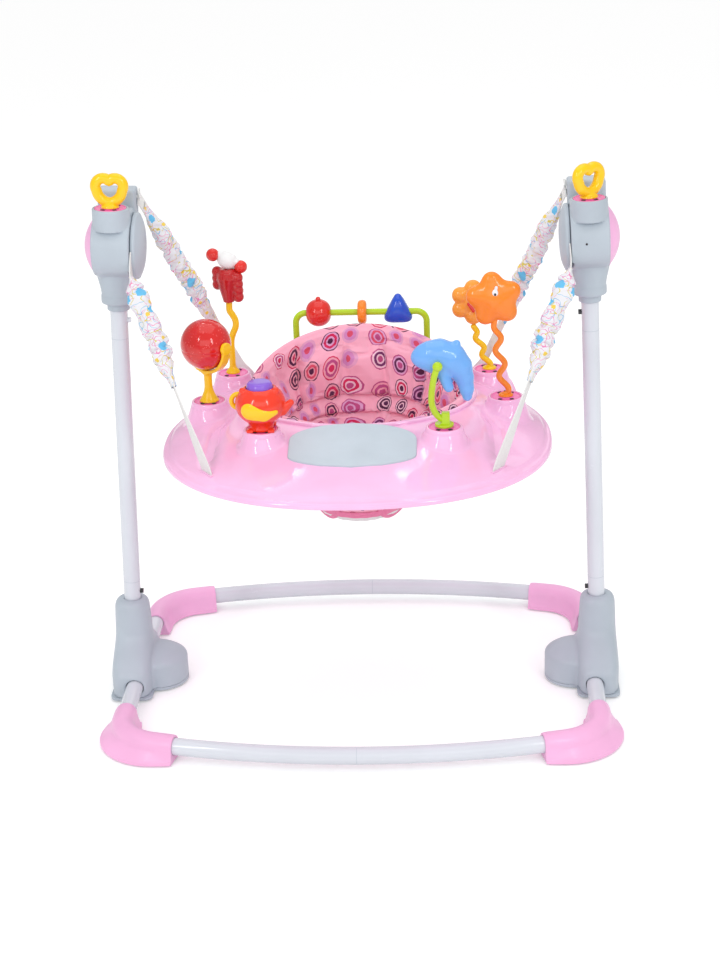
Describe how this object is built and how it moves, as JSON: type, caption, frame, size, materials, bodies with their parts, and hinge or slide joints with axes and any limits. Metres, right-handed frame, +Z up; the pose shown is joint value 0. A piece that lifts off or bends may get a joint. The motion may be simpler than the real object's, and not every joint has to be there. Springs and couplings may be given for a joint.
{
  "type": "baby jumper",
  "caption": "Free-standing baby jumper: a tube stand with leaning posts carries a bouncing play tray with padded seat and toys on sprung straps.",
  "frame": {"origin": "on the floor in the middle of the stand", "axes": "+X to the right as seen from the front, +Y to the back, +Z up"},
  "size_m": [0.7768, 0.5934, 0.8175],
  "materials": {
    "tube_paint": "gloss",
    "grey_plastic": "satin",
    "insert_grey": "matte",
    "tray_pink": "gloss",
    "boot_pink": "satin",
    "hot_pink": "gloss",
    "yellow_plastic": "gloss",
    "red_plastic": "gloss",
    "orange_plastic": "gloss",
    "lime_plastic": "gloss",
    "blue_plastic": "gloss",
    "deep_blue_plastic": "gloss",
    "purple_plastic": "gloss",
    "white_plastic": "satin",
    "seat_fabric": "matte",
    "strap_fabric": "matte",
    "webbing": "matte",
    "rubber": "matte",
    "dark_steel": "satin",
    "bright_steel": "satin"
  },
  "bodies": {
    "frame": {"base_bar_front_left": "tube_paint", "base_bar_front_right": "tube_paint", "base_bar_rear_left": "tube_paint", "base_bar_rear_right": "tube_paint", "base_side_tubes": "tube_paint", "post_stubs": "tube_paint", "post_tube_left": "tube_paint", "post_tube_right": "tube_paint", "corner_boot_front_left": "boot_pink", "corner_boot_front_right": "boot_pink", "corner_boot_rear_left": "boot_pink", "corner_boot_rear_right": "boot_pink", "foot_housing_left": "grey_plastic", "foot_housing_right": "grey_plastic", "foot_base_plates": "grey_plastic", "head_dishes": "grey_plastic", "head_outer_shell_left": "grey_plastic", "head_outer_shell_right": "grey_plastic", "head_inner_shell_left": "grey_plastic", "head_inner_shell_right": "grey_plastic", "strap_sleeve_front_left": "strap_fabric", "strap_sleeve_front_right": "strap_fabric", "strap_sleeve_rear_left": "strap_fabric", "strap_sleeve_rear_right": "strap_fabric", "base_joint_sleeves": "bright_steel", "rubber_pads": "rubber", "head_caps": "boot_pink", "head_sockets": "hot_pink", "head_screws": "bright_steel", "strap_pins": "white_plastic", "webbing_front": "webbing", "webbing_rear": "webbing", "bounce_springs": "bright_steel"},
    "tray": {"tray_shell": "tray_pink", "toy_sockets": "hot_pink", "front_insert": "insert_grey", "seat_rim_ring": "tray_pink", "seat_pad": "seat_fabric", "strap_anchors": "tray_pink", "teapot_body": "red_plastic", "ball_stand": "yellow_plastic", "crab_stem": "yellow_plastic", "arch_rod": "lime_plastic", "dolphin_post": "lime_plastic", "wavy_posts": "orange_plastic"},
    "heart_left": {"heart_left": "yellow_plastic"},
    "heart_right": {"heart_right": "yellow_plastic"},
    "snap_button_lower_left": {"snap_button_lower_left": "dark_steel"},
    "snap_button_lower_right": {"snap_button_lower_right": "dark_steel"},
    "snap_button_upper_left": {"snap_button_upper_left": "dark_steel"},
    "snap_button_upper_right": {"snap_button_upper_right": "dark_steel"},
    "teapot_button": {"teapot_button": "purple_plastic"},
    "ball": {"ball": "red_plastic"},
    "crab": {"crab": "red_plastic"},
    "bead_round": {"bead_round": "red_plastic"},
    "bead_ring": {"bead_ring": "orange_plastic"},
    "bead_fin": {"bead_fin": "deep_blue_plastic"},
    "dolphin": {"dolphin": "blue_plastic"},
    "star": {"star": "orange_plastic"},
    "flower": {"flower": "yellow_plastic"}
  },
  "joints": [
    {"name": "tray_bounce", "type": "slide", "parent": "frame", "child": "tray", "axis": [0, 0, 1], "range_m": [-0.05, 0.04], "stiffness_N_per_m": 1500, "springref_m": 0.01796, "deforming": ["strap_sleeve_front_left", "strap_sleeve_front_right", "strap_sleeve_rear_left", "strap_sleeve_rear_right", "webbing_front", "webbing_rear", "bounce_springs"]},
    {"name": "heart_left_turn", "type": "hinge", "parent": "frame", "child": "heart_left", "pos_m": [-0.33543, -0.03, 0.7606], "axis": [0.0323, 0, 0.9995], "continuous": true},
    {"name": "heart_right_turn", "type": "hinge", "parent": "frame", "child": "heart_right", "pos_m": [0.33543, -0.03, 0.7606], "axis": [-0.0323, 0, 0.9995], "continuous": true},
    {"name": "snap_button_lower_left_press", "type": "slide", "parent": "frame", "child": "snap_button_lower_left", "axis": [-0.9995, 0, 0.0323], "range_m": [0, 0.0045], "stiffness_N_per_m": 1500, "springref_m": -0.001},
    {"name": "snap_button_lower_right_press", "type": "slide", "parent": "frame", "child": "snap_button_lower_right", "axis": [0.9995, 0, 0.0323], "range_m": [0, 0.0045], "stiffness_N_per_m": 1500, "springref_m": -0.001},
    {"name": "snap_button_upper_left_press", "type": "slide", "parent": "frame", "child": "snap_button_upper_left", "axis": [-0.9995, 0, 0.0323], "range_m": [0, 0.0045], "stiffness_N_per_m": 1500, "springref_m": -0.001},
    {"name": "snap_button_upper_right_press", "type": "slide", "parent": "frame", "child": "snap_button_upper_right", "axis": [0.9995, 0, 0.0323], "range_m": [0, 0.0045], "stiffness_N_per_m": 1500, "springref_m": -0.001},
    {"name": "teapot_press", "type": "slide", "parent": "tray", "child": "teapot_button", "axis": [0, 0, -1], "range_m": [0, 0.004], "stiffness_N_per_m": 400, "springref_m": -0.003},
    {"name": "ball_spin", "type": "hinge", "parent": "tray", "child": "ball", "pos_m": [-0.22, 0.022, 0.54], "axis": [0.788, -0.6157, 0], "continuous": true},
    {"name": "crab_turn", "type": "hinge", "parent": "tray", "child": "crab", "pos_m": [-0.198, 0.15, 0.567], "axis": [0, 0, 1], "continuous": true},
    {"name": "star_turn", "type": "hinge", "parent": "tray", "child": "star", "pos_m": [0.204, 0.022, 0.571], "axis": [0, 0, 1], "continuous": true},
    {"name": "flower_turn", "type": "hinge", "parent": "tray", "child": "flower", "pos_m": [0.174, 0.15, 0.523], "axis": [0, 0, 1], "continuous": true},
    {"name": "bead_round_slide", "type": "slide", "parent": "tray", "child": "bead_round", "axis": [1, 0, 0], "range_m": [-0.002, 0.03]},
    {"name": "bead_ring_slide", "type": "slide", "parent": "tray", "child": "bead_ring", "axis": [1, 0, 0], "range_m": [-0.012, 0.012]},
    {"name": "bead_fin_slide", "type": "slide", "parent": "tray", "child": "bead_fin", "axis": [1, 0, 0], "range_m": [-0.015, 0.008]},
    {"name": "dolphin_swing", "type": "hinge", "parent": "tray", "child": "dolphin", "pos_m": [0.122, -0.096, 0.547], "axis": [0, 1, 0], "range_deg": [-20, 20]}
  ]
}
